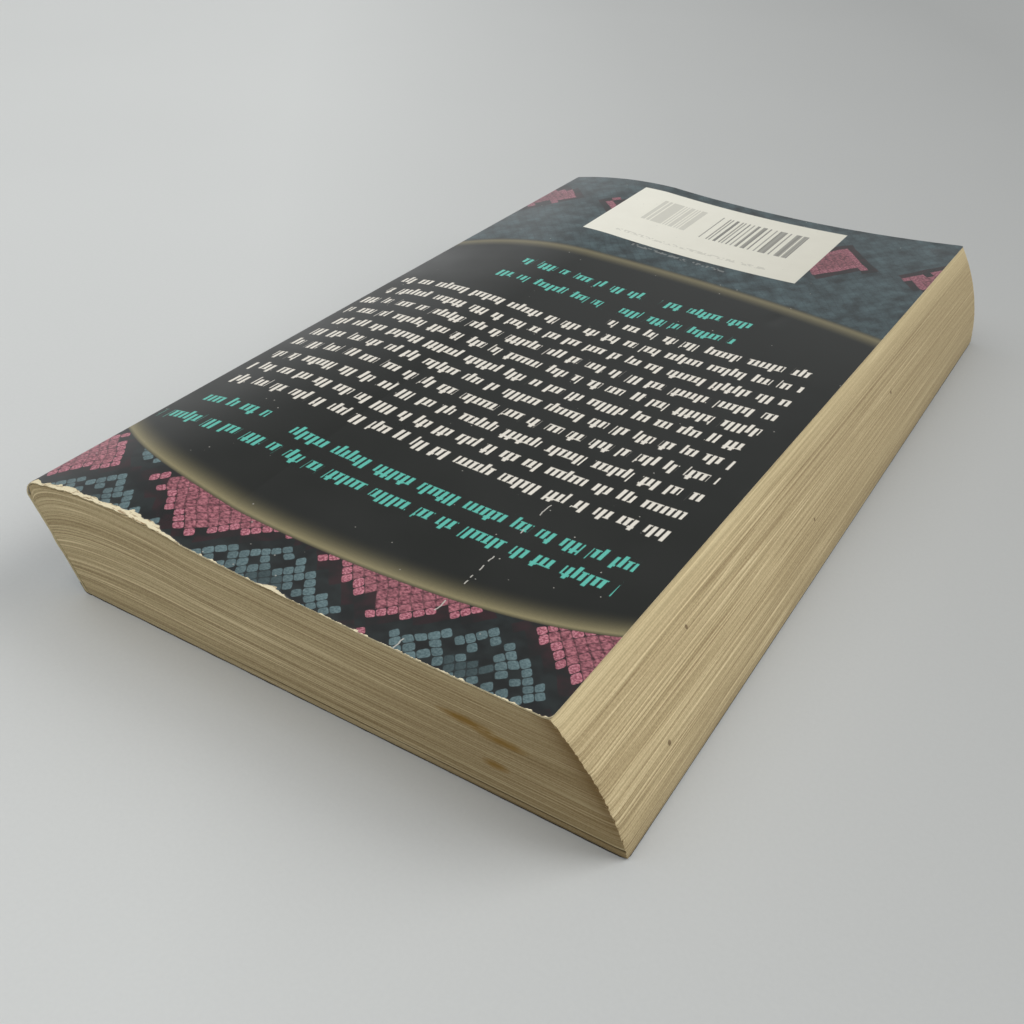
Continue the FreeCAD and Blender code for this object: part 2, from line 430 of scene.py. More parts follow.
class Graph:
    """A material's or a world's node tree and the ways in which the finishes add to it."""

    def __init__(self, name: str, kept_in: Any = None) -> None:
        """An empty tree in a new material, or in a new world if kept in the worlds."""
        self.owner = (bpy.data.materials if kept_in is None else kept_in).new(name)
        self.owner.use_nodes = True
        self.tree = self.owner.node_tree
        self.tree.nodes.clear()

    def node(self, kind: str, settings: dict[str, Any] | None = None,
             inputs: dict[str | int, Any] | None = None, output: str | int = 0) -> Signal:
        """Any node.

        Args:
            kind: the node's type.
            settings: its settings, set first; "stops" is a ramp's list of (place, colour).
            inputs: values or signals, by socket name or number.
            output: which output to hand back.

        Returns:
            The chosen output, or the node's first input where it has no output.
        """
        made = self.tree.nodes.new(kind)
        for key, value in (settings or {}).items():
            if key == "stops":
                self._set_stops(made, value)
            else:
                setattr(made, key, value)
        for key, value in (inputs or {}).items():
            if isinstance(value, Signal):
                self.tree.links.new(value.socket, made.inputs[key])
            else:
                made.inputs[key].default_value = value
        sockets = made.outputs if len(made.outputs) else made.inputs
        return Signal(self, sockets[output])

    @staticmethod
    def _set_stops(made: bpy.types.Node, stops: list[tuple[float, Colour]]) -> None:
        """Gives a ramp its stops."""
        elements = made.color_ramp.elements
        while len(elements) < len(stops):
            elements.new(0.5)
        for element, (place, colour) in zip(elements, stops):
            element.position = place
            element.color = colour

    def math(self, operation: str, *values: Value) -> Signal:
        """A Math node on one or two values."""
        return self.node("ShaderNodeMath", {"operation": operation}, dict(enumerate(values)))

    def mix(self, factor: Value, first: Tint, second: Tint) -> Signal:
        """The first colour where the factor is 0, the second where it is 1."""
        settings = {"data_type": "RGBA", "clamp_factor": True}
        return self.node("ShaderNodeMix", settings, {0: factor, 6: first, 7: second}, 2)

    def coats(self, under: Tint, *coats: tuple[Value, Tint]) -> Signal:
        """Colours laid over a first one in turn, each with its own factor."""
        for factor, colour in coats:
            under = self.mix(factor, under, colour)
        return under

    def scaled(self, vector: Tint, amount: Value) -> Signal:
        """A vector or a colour times a number, by Vector Math."""
        plain = vector if isinstance(vector, Signal) else vector[:3]
        return self.node("ShaderNodeVectorMath", {"operation": "SCALE"}, {0: plain, "Scale": amount})

    def vector(self, x: Value, y: Value, z: Value = 0.0) -> Signal:
        """Three numbers as a vector."""
        return self.node("ShaderNodeCombineXYZ", None, {0: x, 1: y, 2: z})

    def split(self, vector: Signal) -> tuple[Signal, Signal, Signal]:
        """A vector's three numbers."""
        first = self.node("ShaderNodeSeparateXYZ", None, {0: vector})
        sockets = first.socket.node.outputs
        return first, Signal(self, sockets[1]), Signal(self, sockets[2])

    def noise(self, vector: Signal, scale: float = 1.0, detail: float = 2.0) -> Signal:
        """Noise from about 0.2 to 0.8 at a vector."""
        return self.node("ShaderNodeTexNoise", None, {"Vector": vector, "Scale": scale, "Detail": detail})

    def chance(self, x: Value, y: Value, z: Value = 0.0) -> Signal:
        """One random number, 0 to 1, for each set of three numbers."""
        settings = {"noise_dimensions": "3D"}
        return self.node("ShaderNodeTexWhiteNoise", settings, {"Vector": self.vector(x, y, z)})

    def mark(self, name: str) -> Signal:
        """A named attribute's number."""
        return self.node("ShaderNodeAttribute", {"attribute_name": name}, None, "Fac")

    def place(self) -> Signal:
        """Object coordinates in millimetres."""
        return self.scaled(self.node("ShaderNodeTexCoord", None, None, "Object"), 1 / MM)

    def bump(self, height: Signal, strength: float, distance: float) -> Signal:
        """A Bump node; the distance is in millimetres."""
        inputs = {"Height": height, "Strength": strength, "Distance": distance * MM}
        return self.node("ShaderNodeBump", None, inputs)

    def finish(self, colour: Tint, roughness: Value, normal: Signal) -> Material:
        """Ends the tree in a Principled shader and hands back the material."""
        inputs = {"Base Color": colour, "Roughness": roughness, "Normal": normal}
        shader = self.node("ShaderNodeBsdfPrincipled", None, inputs)
        self.node("ShaderNodeOutputMaterial", None, {"Surface": shader})
        return self.owner


# finishes


FOLD_P = -52.3
FOOT_P = -75.6
PRINT_TURN = math.radians(2.1)


@dataclass(frozen=True)
class Row:
    """One row of strokes on the cover: its place, its two ends and the ends of a blank in it."""

    place: float
    left: float
    right: float
    blank: Point = (99.0, 99.0)


@dataclass(frozen=True)
class CoverPrint:
    """The cover's gloss print.

    It reads the Print map, p across and q along in millimetres, turned a little against the cover. A
    black field lies between two gold arcs, and a plain snakeskin pattern beyond them. Rows of short
    strokes and a pale panel with bars stand for the printed matter. They spell nothing. A block is one
    end's diamonds: two middles and two steps along the slants.
    """

    near_curve: tuple[float, ...] = (6.55e-7, -1.246e-5, 1.684e-3, 0.0712, -75.87)
    far_centre: Point = (2.0, -106.8)
    far_radius: float = 150.0
    scale_wide: float = 2.28
    scale_high: float = 2.66
    near_block: tuple[float, ...] = (-116.2, 71.3, 28.2, 26.6)
    far_block: tuple[float, ...] = (93.2, -43.8, 25.3, 25.3)
    row_tilt: float = 0.033
    row_hinge: float = 42.4
    first_row: float = -42.0
    row_pitch: float = 5.87
    stroke_pitch: float = 1.14
    word_pitch: float = 9.1
    lean: float = 0.05
    crease: float = 22.1
    crease_dashes: tuple[Point, ...] = (
        *((-48.6, -45.2), (-54.3, -53.2), (-63.0, -61.4), (-65.5, -64.1)),
        *((-67.7, -67.0), (-69.4, -68.4), (-76.7, -73.9), (-86.6, -84.0)),
    )
    accent_rows: tuple[Row, ...] = (
        Row(-57.8, -51.5, 41.8),
        Row(-51.9, -26.5, 41.8),
        Row(-50.6, -49.0, -32.5),
        Row(22.7, -33.0, 22.7, (-6.5, -3.0)),
        Row(30.7, -32.0, 22.7, (-1.5, 2.0)),
    )
    black: Colour = srgb(27, 29, 25)
    gold: Colour = srgb(143, 134, 100)
    white_ink: Colour = srgb(240, 234, 222)
    accent_ink: Colour = srgb(98, 196, 180)
    panel: Colour = srgb(247, 245, 232)
    cream: Colour = srgb(240, 228, 194)

    def material(self) -> Material:
        """The print with its wear, as one material."""
        g = Graph("cover_print")
        p, q, _ = g.split(g.node("ShaderNodeUVMap", {"uv_map": "Print"}))
        along = p.most(FOLD_P) + (FOOT_P - p).most(0.0)
        near, far = self._outside(along, q)
        skin = near.ramp(-0.06, 0.12).most(far.ramp(0.3, 1.5))
        colour = g.mix(skin, self._field(g, near, far), self._skin(g, p, q))
        colour = self._rows(g, p, q, colour)
        panel, colour = self._panel(g, p, q, colour)
        return self._worn(g, p, q, colour, panel)

    def _outside(self, p: Signal, q: Signal) -> tuple[Signal, Signal]:
        """How far a place lies beyond the near curve, a quartic in p, and outside the far circle."""
        border: Value = 0.0
        for share in self.near_curve:
            border = p * border + share
        dx = p - self.far_centre[0]
        dy = q - self.far_centre[1]
        return (border - q) * 0.97, (dx * dx + dy * dy) ** 0.5 - self.far_radius

    def _field(self, g: Graph, near: Signal, far: Signal) -> Signal:
        """Black, with a gold glow inside the near arc and a thin gold line along the far one."""
        glow = near.ramp(0.2, -0.7) * near.ramp(-6.0, -0.8) ** 2.6
        line = far.ramp(1.3, -0.2) * far.ramp(-3.6, -0.6) ** 1.5
        grain = g.noise(g.vector(near * 3.0, far * 3.0), 1.0, 3.0)
        strength = glow.most(line * 0.6) * (0.85 + grain * 0.3)
        return g.mix(strength, self.black, self.gold)

    def _skin(self, g: Graph, p: Signal, q: Signal) -> Signal:
        """Snakeskin: rounded scales on a slanted lattice, in diamonds of two colours.

        a and b count scales along the lattice's two slants. A scale belongs to the diamond that its
        own middle lies in, so the diamonds' borders are stepped. Pink and grey-blue diamonds take
        turns with dark rows between them, and the far end's are smaller. A scale's ring counts from
        its diamond's border inwards.
        """
        far_side = q > 0.0

        def per_end(near: float, far: float) -> Signal:
            """One number for the near end's skin and another for the far end's."""
            return near + far_side * (far - near)

        def diamond(slant: Signal, middle: Signal, step: Signal) -> tuple[Signal, Signal]:
            """Which diamond a slanted place lies in, and how far from its middle."""
            place = (slant - middle) / step
            turn = (place + 0.5).floor()
            return turn, abs(place - turn) * step

        spot = g.vector(p, q)
        sway = g.noise(spot, 0.12, 1.0) - 0.5
        swing = g.noise(g.vector(q, p, 7.0), 0.13, 1.0) - 0.5
        across = p / self.scale_wide + sway * 0.8
        along = q / self.scale_high + swing * 0.8
        a = across + along
        b = across - along
        col = a.floor()
        row = b.floor()
        mid_p = (col + row + 1.0) * (self.scale_wide / 2)
        mid_q = (col - row) * (self.scale_high / 2)
        middle_a, middle_b, step_a, step_b = map(per_end, self.near_block, self.far_block)
        rising = mid_p * per_end(0.68, 1.0) + mid_q * per_end(1.32, 1.0)
        rising = rising - (1.0 - far_side) * (-38.0 - mid_p).most(0.0) * 0.45
        falling = mid_p * per_end(0.84, 1.0) - mid_q * per_end(1.16, 1.0)
        turn_a, off_a = diamond(rising, middle_a, step_a)
        turn_b, off_b = diamond(falling, middle_b, step_b)
        other = (turn_a + turn_b).remainder(2.0).most(far_side * (abs(turn_a - turn_b) > 1.5))
        half_a = 11.0 + far_side * (other * 3.4 - 3.0)
        half_b = 11.3 - other + far_side * (other * 4.4 - 3.3)
        ring = ((half_a - off_a).least(half_b - off_b) / 2.5).floor()
        tone = g.chance(col, row)
        swell = 0.455 + tone * 0.03
        body = (abs(a - col - 0.5) / swell) ** 4.0 + (abs(b - row - 0.5) / swell) ** 4.0
        scale = body.ramp(1.15, 0.7)
        inner = ring > 0.5
        deep = ring > 2.5
        missing = ring.equals(0) * (tone > 0.9) * (1.0 - other)
        extra = ring.equals(-1) * (tone < 0.06 - other * 0.04)
        present = (ring > -0.5) * (1.0 - missing) + extra
        fine = g.noise(spot, 2.6, 3.0)
        wrinkle = g.noise(g.vector(a * 1.3, b * 1.3, 3.0))
        ripple = abs(wrinkle - 0.5).ramp(0.0, 0.08)
        crumb = g.noise(g.vector(p * 1.5, q * 2.1, 9.0), 1.0, 1.0)
        cloud = g.noise(spot, 0.28)
        slope = (a - col) * 0.22
        # pink diamonds: clear scales round the edge, wrinkled and mottled inside
        edge_pink = g.mix(fine.ramp(0.4, 0.62), srgb(138, 72, 86), srgb(200, 132, 144))
        mid_pink = g.mix(ripple * 0.35 + crumb.ramp(0.36, 0.64) * 0.65, srgb(88, 42, 54), srgb(184, 116, 126))
        pink = g.mix(inner, edge_pink, mid_pink)
        pink = g.scaled(pink, (0.78 + tone * 0.16 + cloud * 0.2 + slope) * (1.0 - far_side * 0.35))
        dark_red = g.mix(cloud.ramp(0.42, 0.62), srgb(30, 30, 30), srgb(50, 32, 35))
        filled = scale.most(inner * (0.35 + crumb * 0.3)).most(far_side * 0.75)
        pink_part = g.mix(present * filled, dark_red, pink)
        # grey-blue diamonds: an outer row, a row with dark checks, then dimmer scales
        blue = g.mix(fine.ramp(0.35, 0.7), srgb(80, 102, 106), srgb(112, 134, 137))
        dim = (1.0 - deep * (0.4 + fine * 0.2)) * (1.0 - inner * 0.1)
        blue = g.scaled(blue, (0.78 + tone * 0.22 + slope) * dim)
        check = (col + row).remainder(2.0) * ring.equals(1)
        lone = ring.equals(2) * (tone > 0.6)
        blue_on = present * scale.most(deep * 0.25) * (1.0 - check - lone)
        night = g.mix(cloud.ramp(0.4, 0.6), srgb(26, 29, 29), srgb(36, 42, 42))
        near_blue = g.mix(blue_on, night, blue)
        # the far end's are dim, with faint scales in soft clouds
        dusk = (cloud * 0.7 + fine * 0.3).ramp(0.34, 0.66)
        far_blue = g.mix(dusk * (0.62 + scale * 0.38), srgb(37, 46, 48), srgb(76, 95, 99))
        far_blue = g.scaled(far_blue, 0.8 + (ring > -0.5) * 0.2)
        blue_part = g.mix(far_side, near_blue, far_blue)
        return g.mix(other.most(far_side * (ring < -1.5)), pink_part, blue_part)

    def _strokes(self, g: Graph, p: Signal, rise: Signal, line: Signal) -> Signal:
        """Short strokes in groups of random lengths.

        Args:
            g: the graph.
            p: place along the row.
            rise: place across the row, from its middle.
            line: the row's own number, for its random lengths.

        Returns:
            1 on a stroke.
        """
        slid = p - rise * self.lean
        count = (slid / self.stroke_pitch).floor()
        inside = slid / self.stroke_pitch - count
        kind = g.chance(count, line, 3.0)
        reach = 1.1 + (kind > 0.68) * 0.85
        depth = 1.1 + (kind < 0.13) * 0.8
        tall = (rise + reach).ramp(-0.12, 0.12) * (depth - rise).ramp(-0.12, 0.12)
        stem = abs(inside - 0.5).ramp(0.36, 0.24)
        word_place = (slid + line * 3.7) / self.word_pitch
        word = word_place.floor()
        word_in = word_place - word
        lot = g.chance(word, line, 11.0)
        gap = word_in.ramp(0.17, 0.19)
        middle = 0.42 + lot * 0.3
        second = 1.0 - (lot > 0.35) * abs(word_in - middle).ramp(0.085, 0.07)
        bar = abs(rise - 1.1 + (kind > 0.5) * 2.2).ramp(0.34, 0.2) * (abs(kind - 0.5) < 0.3)
        return stem.most(bar * 0.9) * tall * gap * second

    def _rows(self, g: Graph, p: Signal, q: Signal, under: Signal) -> Signal:
        """Rows of strokes: eleven pale ones with one short, and the accent rows near both ends."""
        level = q - (p - self.row_hinge) * self.row_tilt
        line = ((level - self.first_row) / self.row_pitch + 0.5).floor()
        left = -51.8 + g.chance(line, 5.0) * 3.6 + (line > 9.5) * 46.0
        ends = (p - left).ramp(0.0, 0.1) * p.ramp(42.0, 41.9)
        rise = level - self.first_row - line * self.row_pitch
        pale = self._strokes(g, p, rise, line) * line.within(-0.5, 10.5, 0.1) * ends
        middle: Value = 0.0
        number: Value = 0.0
        shown: Value = 0.0
        for index, row in enumerate(self.accent_rows):
            here = level.within(row.place - 2.1, row.place + 2.1, 0.01) * p.within(row.left, row.right, 0.1)
            here = here * (1.0 - p.within(*row.blank, 0.1))
            middle = middle + here * row.place
            number = number + here * (31.0 + index)
            shown = shown + here
        accent = self._strokes(g, p, level - middle, number) * shown.least(1.0)
        return g.coats(under, (pale, self.white_ink), (accent, self.accent_ink))

    def _panel(self, g: Graph, p: Signal, q: Signal, under: Signal) -> tuple[Signal, Signal]:
        """The pale panel with two groups of bars. Their widths are random and mean nothing.

        Returns:
            The panel's mask, and the colour with the panel laid over it.
        """
        level = q - (p + 30.0) * 0.035
        mask = p.within(-30.8, 22.0, 0.12) * level.within(51.8, 82.6, 0.12)
        lot = g.chance((p / 0.36).floor(), 2.0, 8.0)
        strong = p.within(-6.8, 15.0, 0.05) * level.within(63.4, 77.2, 0.15)
        faint = p.within(-22.6, -11.0, 0.05) * level.within(64.6, 77.6, 0.15)
        bars = (lot > 0.5) * (strong * (0.35 + lot * 0.5) + faint * 0.28)
        small = g.chance((p / 0.5).floor(), (level / 0.6).floor(), 4.0) > 0.55
        lines = small * (level - 55.6).within(-0.6, 0.6, 0.1) * p.within(-24.0, 14.0, 0.1) * 0.22
        soft = g.noise(g.vector(p, q, 3.0), 0.25)
        # painted light: the panel is lighter on its left and darker on its right
        paper = g.mix(p.ramp(-34.0, 26.0) * 0.8 + soft * 0.2, self.panel, srgb(214, 211, 197))
        face = g.mix((bars + lines).least(1.0), paper, srgb(96, 96, 92))
        outer_small = small * (q - 50.9).within(-0.55, 0.55, 0.1) * p.within(-17.8, 6.7, 0.1) * 0.5
        return mask, g.coats(under, (mask, face), (outer_small * (1.0 - mask), srgb(150, 152, 150)))

    def _worn(self, g: Graph, p: Signal, q: Signal, colour: Signal, panel: Signal) -> Material:
        """Specks, scratches, a crease and the torn head edge, and the gloss over all."""
        spot = g.vector(p, q, 1.0)
        fibre = g.noise(spot, 2.2, 4.0)
        torn = (g.mark("Torn") + (fibre - 0.5) * 0.5).ramp(0.42, 0.58)
        chip_width = g.noise(g.vector(p, 4.0), 0.9, 3.0).ramp(0.5, 0.75) * 0.35 + 0.03
        bare = torn.most((chip_width - g.mark("Edge")).ramp(-0.03, 0.05))
        # small white specks, and one broken crease across the near end
        cell = g.node("ShaderNodeTexVoronoi", {"feature": "F1"}, {"Vector": spot, "Scale": 0.42}, "Distance")
        speck = cell.ramp(0.075, 0.04) * (g.noise(spot, 0.31, 1.0) > 0.56)
        crease_line = abs(p - self.crease + (g.noise(g.vector(q, 2.0), 0.7, 1.0) - 0.5) * 0.5)
        dash: Value = 0.0
        for low, high in self.crease_dashes:
            dash = q.within(low, high, 0.1) + dash
        crease = crease_line.ramp(0.14, 0.07) * dash
        mark = (speck * 0.7).most(crease * 0.95)
        layers = g.noise(g.vector(p * 0.4, q * 2.4, 2.0))
        pulp = g.mix((layers * 0.7 + fibre * 0.3).ramp(0.34, 0.48), srgb(140, 108, 66), self.cream)
        colour = g.coats(colour, (mark, srgb(196, 192, 184)), (bare, pulp))
        smear = g.noise(spot, 0.05, 3.0)
        roughness = 0.27 + smear.ramp(0.3, 0.75) * 0.13 + bare * 0.45 + panel * 0.1
        height = g.noise(spot, 0.8) * 0.05 + fibre * bare * 0.6 + crease * 0.2
        return g.finish(colour, roughness.least(0.9), g.bump(height, 0.35, 0.12))


@dataclass(frozen=True)
class CardPaper:
    """The cover's unprinted side and its cut edges: matt card, a little dirty."""

    name: str
    light: Colour
    dark: Colour
    roughness: float = 0.82

    def material(self) -> Material:
        """Fine pulp mottle over two tones."""
        g = Graph(self.name)
        here = g.place()
        fine = g.noise(here, 1.7, 3.0)
        blend = (g.noise(here, 0.06, 3.0) * 0.6 + fine * 0.4).ramp(0.35, 0.65)
        colour = g.mix(blend, self.dark, self.light)
        return g.finish(colour, self.roughness + fine * 0.1, g.bump(fine, 0.25, 0.08))


@dataclass(frozen=True)
class PagePaper:
    """The aged leaves: the cut edges' streaks, and the plain face that an open cover shows.

    A streak layer is its stretch across and along, its layers a millimetre, its start and its detail.
    A stain is a place across and up, a half width, a half height and a depth. A spot is a place along
    and up and a size.
    """

    dark: Colour = srgb(138, 117, 80)
    middle: Colour = srgb(186, 167, 127)
    light: Colour = srgb(222, 204, 162)
    streaks: tuple[tuple[float, ...], ...] = (
        (0.035, 0.035, 7.5, 0.0, 2.0),
        (0.014, 0.017, 4.6, 40.0, 2.0),
        (0.01, 0.012, 0.8, 90.0, 2.0),
        (0.011, 0.013, 2.3, 140.0, 1.0),
        (0.012, 0.012, 2.0, 190.0, 1.0),
    )
    stains: tuple[tuple[float, ...], ...] = (
        (31.0, 12.7, 4.4, 0.85, 0.95),
        (37.0, 11.7, 4.2, 0.9, 0.85),
        (36.0, 6.3, 2.2, 0.85, 0.8),
    )
    spots: tuple[Place, ...] = (
        (-56.0, 15.2, 0.35),
        (-70.5, 6.4, 0.45),
        (-12.0, 9.0, 0.3),
        (31.0, 12.5, 0.35),
    )

    def material(self) -> Material:
        """Streaks follow the Leaf mark, so they bend with the leaves; the Side mark parts the faces."""
        g = Graph("aged_pages")
        x, y, z = g.split(g.place())
        leaf = g.mark("Leaf")
        side = g.mark("Side")
        fine, lines, bands, pale, deep = (
            g.noise(g.vector(x * across, y * along, leaf * layers + start), 1.0, detail)
            for across, along, layers, start, detail in self.streaks
        )
        grain = g.noise(g.vector(x, y, z), 3.2)
        thread = abs(pale - 0.5).ramp(0.05, 0.0) * 0.26 - abs(deep - 0.5).ramp(0.03, 0.0) * 0.08
        streak = (fine - 0.5) * 0.6 + (lines.ramp(0.38, 0.62) - 0.5) * 0.22 + thread * (1.4 - side * 0.4)
        # the fore-edge is smoother towards the far end, and darker there with painted shade further down
        far_calm_and_shade = side * y.ramp(-30.0, 60.0)
        tone = 0.47 + streak * (1.0 - far_calm_and_shade * 0.5) + (bands - 0.5) * 0.12 + (grain - 0.5) * 0.35
        stops = [(0.2, self.dark), (0.52, self.middle), (0.85, self.light)]
        colour = g.node("ShaderNodeValToRGB", {"stops": stops}, {"Fac": tone})
        # the head end darker towards the fore-edge with painted shade, and browner there; a brown worn corner
        head = 1.0 - side
        worn = (g.mark("Corner") * 1.3 + (fine - 0.5) * 0.9).ramp(0.25, 0.95) * leaf.ramp(2.0, 9.0)
        colour = g.coats(
            colour,
            (head * x.ramp(-45.0, 57.0) * 0.42, g.scaled(colour, 0.72)),
            (head * x.ramp(-10.0, 57.0) * 0.5, srgb(116, 90, 38)),
            (head * worn * 0.65, srgb(106, 77, 30)),
        )
        # painted light and shade on the fore-edge: lighter at its near end, darker at its far end and its
        # lowest leaves
        painted_near_light = side * y.ramp(0.0, -70.0) * leaf.ramp(2.0, 9.0)
        colour = g.scaled(colour, 1.0 + painted_near_light * 0.1 - far_calm_and_shade * 0.14 - side * leaf.ramp(7.0, 0.0) * 0.06)
        # the fore-edge's top leaves with a painted highlight, the bottom leaves with painted shade, the gap
        # above the first ones with painted shade and a bright leaf over it, the marks, and the plain face
        where = head * x.ramp(-32.0, -4.0)
        page = g.mix(grain.ramp(0.3, 0.7), srgb(206, 192, 158), srgb(218, 206, 174))
        colour = g.coats(
            colour,
            (side * leaf.ramp(16.6, 19.4) * 0.4, srgb(232, 214, 168)),
            (leaf.ramp(2.2, 0.0) * 0.25, srgb(92, 78, 54)),
            (leaf.within(0.9, 1.15, 0.12) * where * 0.6, srgb(62, 50, 32)),
            (leaf.within(1.25, 1.55, 0.15) * where * 0.5, srgb(220, 202, 160)),
            (self._stained(g, x, y, leaf, head), srgb(130, 96, 20)),
            (self._spotted(y, leaf, side), srgb(84, 56, 26)),
            (side.ramp(1.5, 2.0), page),
        )
        return g.finish(colour, 0.86, g.bump(fine * 0.7 + lines * 0.5 + grain * 0.3, 0.4, 0.1))

    def _stained(self, g: Graph, x: Signal, y: Signal, leaf: Signal, head: Signal) -> Signal:
        """Three old brown marks on the head end: stretched spots along the leaves."""
        wave = (g.noise(g.vector(x, y, leaf * 3.0), 0.5, 3.0) - 0.5) * 1.1
        total: Value = 0.0
        for place, level, long, thick, depth in self.stains:
            dx = (x - place) / long
            dz = (leaf - level) / thick
            total = (dx * dx + dz * dz + wave).ramp(1.5, 0.0) * depth + total
        return total.least(0.9) * head * (y < -80.0)

    def _spotted(self, y: Signal, leaf: Signal, side: Signal) -> Signal:
        """A few dark specks on the fore-edge."""
        total: Value = 0.0
        for place, level, size in self.spots:
            dy = (y - place) / size
            dz = (leaf - level) / size
            total = (dy * dy + dz * dz).ramp(1.2, 0.5) + total
        return total.least(1.0) * side * 0.7


@dataclass(frozen=True)
class TableTop:
    """The pale ground that the book lies on."""

    tone: Colour = srgb(208, 210, 209)

    def material(self) -> Material:
        """Matt, with a very fine fleck, and painted shade that darkens it a little away from the window."""
        g = Graph("table_top")
        here = g.place()
        x, y, _ = g.split(here)
        fleck = g.noise(here, 1.4, 3.0)
        # painted shade: the ground darker away from the window, towards +x and +y
        away = x * 0.8 + y * 0.6
        dimmer = 1.1 - away.ramp(-70.0, 60.0) * 0.3 - away.ramp(60.0, 200.0) * 0.2
        colour = g.scaled(self.tone, (0.955 + fleck * 0.05 + g.noise(here, 0.012) * 0.04) * dimmer)
        return g.finish(colour, 0.62, g.bump(fleck, 0.08, 0.1))


# the page block


@dataclass
class PageBlock:
    """All the leaves as one closed body with a ridge for each leaf on its cut edges."""

    spine_inset: float = 1.0
    top_inset: float = 0.46
    nose_inset: float = 0.25
    belly: float = 1.6
    thickness: float = 20.0
    columns: int = 84
    fine_columns: int = 6
    fine_share: float = 0.02
    rows: int = 56
    leaves: int = 168
    ridge: float = 0.05

    def build(self, paper: Material) -> bpy.types.Object:
        """The block's mesh.

        A lattice of (column, row, leaf) keeps only its outside. Each leaf's line is worked out at the
        head and at the tail, and a row is straight between the two.

        Args:
            paper: the leaves' material.

        Returns:
            The object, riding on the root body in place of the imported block.
        """
        col, row, leaf, quads = self._lattice()
        share = self._shares()[col]
        places = np.concatenate([[0.0, 0.3, 0.7, 1.2, 1.9], np.linspace(3.0, PAGE_HEIGHT, self.rows - 4)])
        along = places[row] / PAGE_HEIGHT
        level = leaf / self.leaves
        head = self._section(BOOK.head, share, level)
        tail = self._section(BOOK.tail, share, level)
        x, z = (head * (1 - along[:, None]) + tail * along[:, None]).T
        y = along * PAGE_HEIGHT - HALF_HEIGHT
        at_head = row == 0
        at_tail = row == self.rows
        at_fore = col == self.columns
        thick = level * self.thickness
        depth = self._ridges(x, thick, 11)
        groove = smooth(x, -30, -2) * (1 - smooth(np.abs(thick - 1.02), 0.1, 0.24)) * 0.3
        blunt = 0.08 + 0.45 * wobble(thick, 0.55, 81) ** 2 + 0.28 * wobble(thick, 0.22, 82)
        blunt *= 0.2 + 0.8 * smooth(thick, 0.4, 2.5)
        from_fore = (1 - share) * PAGE_WIDTH
        corner_head = np.exp(-(from_fore / 0.7)) * blunt
        corner_fore = np.exp(-((y + HALF_HEIGHT) / 0.7)) * blunt
        y = np.where(at_head, y + depth + groove + corner_head, y)
        y = np.where(at_tail, y - depth, y)
        x = np.where(at_fore, x - self._ridges(y, thick, 57) * 1.4 - corner_fore, x)
        corner = np.where(at_head, np.exp(-(from_fore / 2.6)), 0.0)
        capped = (leaf == 0) | (leaf == self.leaves)
        side = np.where(at_fore, 1.0, np.where(capped & ~at_head & ~at_tail, 2.0, 0.0))
        marks = {"Leaf": thick, "Side": side, "Corner": corner}
        piece = new_piece("page_block", np.stack([x, y, z], -1), quads, [paper], marks=marks, rounded=False)
        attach(piece, Body.ROOT.value)
        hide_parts("text_block")
        return piece

    def _shares(self) -> Array:
        """Each column's place along a leaf: squares of even steps, then close steps at the fore-edge."""
        wide = self.columns - self.fine_columns
        spread = (1 - self.fine_share) * (np.arange(wide + 1) / wide) ** 2.0
        steps = np.arange(1, self.fine_columns + 1) / self.fine_columns
        return np.concatenate([spread, 1 - self.fine_share * (1 - steps) ** 1.4])

    def _lattice(self) -> tuple[Array, Array, Array, Array]:
        """The outside of a box of lattice points.

        Returns:
            Column, row and leaf of each corner, and the quads.
        """
        counts = (self.columns, self.rows, self.leaves)
        grid = np.indices([c + 1 for c in counts])
        skin = np.zeros(grid.shape[1:], bool)
        for axis, count in enumerate(counts):
            skin |= (grid[axis] == 0) | (grid[axis] == count)
        ids = np.full(skin.shape, -1)
        ids[skin] = np.arange(skin.sum())
        faces = (ids[0], ids[-1], ids[:, 0], ids[:, -1], ids[:, :, 0], ids[:, :, -1])
        sides = (Side.IN, Side.OUT, Side.OUT, Side.IN, Side.IN, Side.OUT)
        quads = np.concatenate([grid_quads(face, side) for face, side in zip(faces, sides)])
        col, row, leaf = (axis[skin] for axis in grid)
        return col, row, leaf, quads

    def _section(self, end: EndSection, share: Array, level: Array) -> Array:
        """Leaves' lines at one end.

        A leaf starts on the leaning spine, evenly spaced. Its height is its share of the height under
        the cover, less a bend that dies away from the spine: drop x e^(-(x - start) / reach). The
        reach shortens towards the cover, whose shoulder the top leaf follows. It ends on the
        fore-edge's arc.

        Args:
            end: the end's outline.
            share: place along the leaf, 0 at the spine to 1 at the fore-edge.
            level: leaf, 0 at the bottom to 1 at the top.

        Returns:
            x and z, shaped (count, 2).
        """
        cover = end.outer(np.linspace(-0.82, 2, 900))
        under = cover + inward(cover) * self.top_inset
        nose = np.array([[end.nose[0] + self.spine_inset, end.nose[1] - self.nose_inset]])
        under = np.concatenate([nose, under[under[:, 0] > nose[0, 0] + 0.02]])
        foot = FOOT_X + self.spine_inset
        start_x = foot + (nose[0, 0] - foot) * level
        start_z = CARD + (nose[0, 1] - CARD) * level
        corner = (end.edge[0], end.edge[1] - self.top_inset)
        chord = np.array([corner[0] - FORE_X, corner[1] - CARD])
        out = np.array([chord[1], -chord[0]]) / np.linalg.norm(chord) * self.belly
        middle = (float((corner[0] + FORE_X) / 2 + out[0]), float((corner[1] + CARD) / 2 + out[1]))
        belly = arc_through((FORE_X, CARD), middle, corner, np.linspace(0, 1, 200))
        end_x = np.interp(CARD + (corner[1] - CARD) * level, belly[:, 1], belly[:, 0])
        x = start_x + (np.minimum(end_x, FORE_X) - start_x) * share

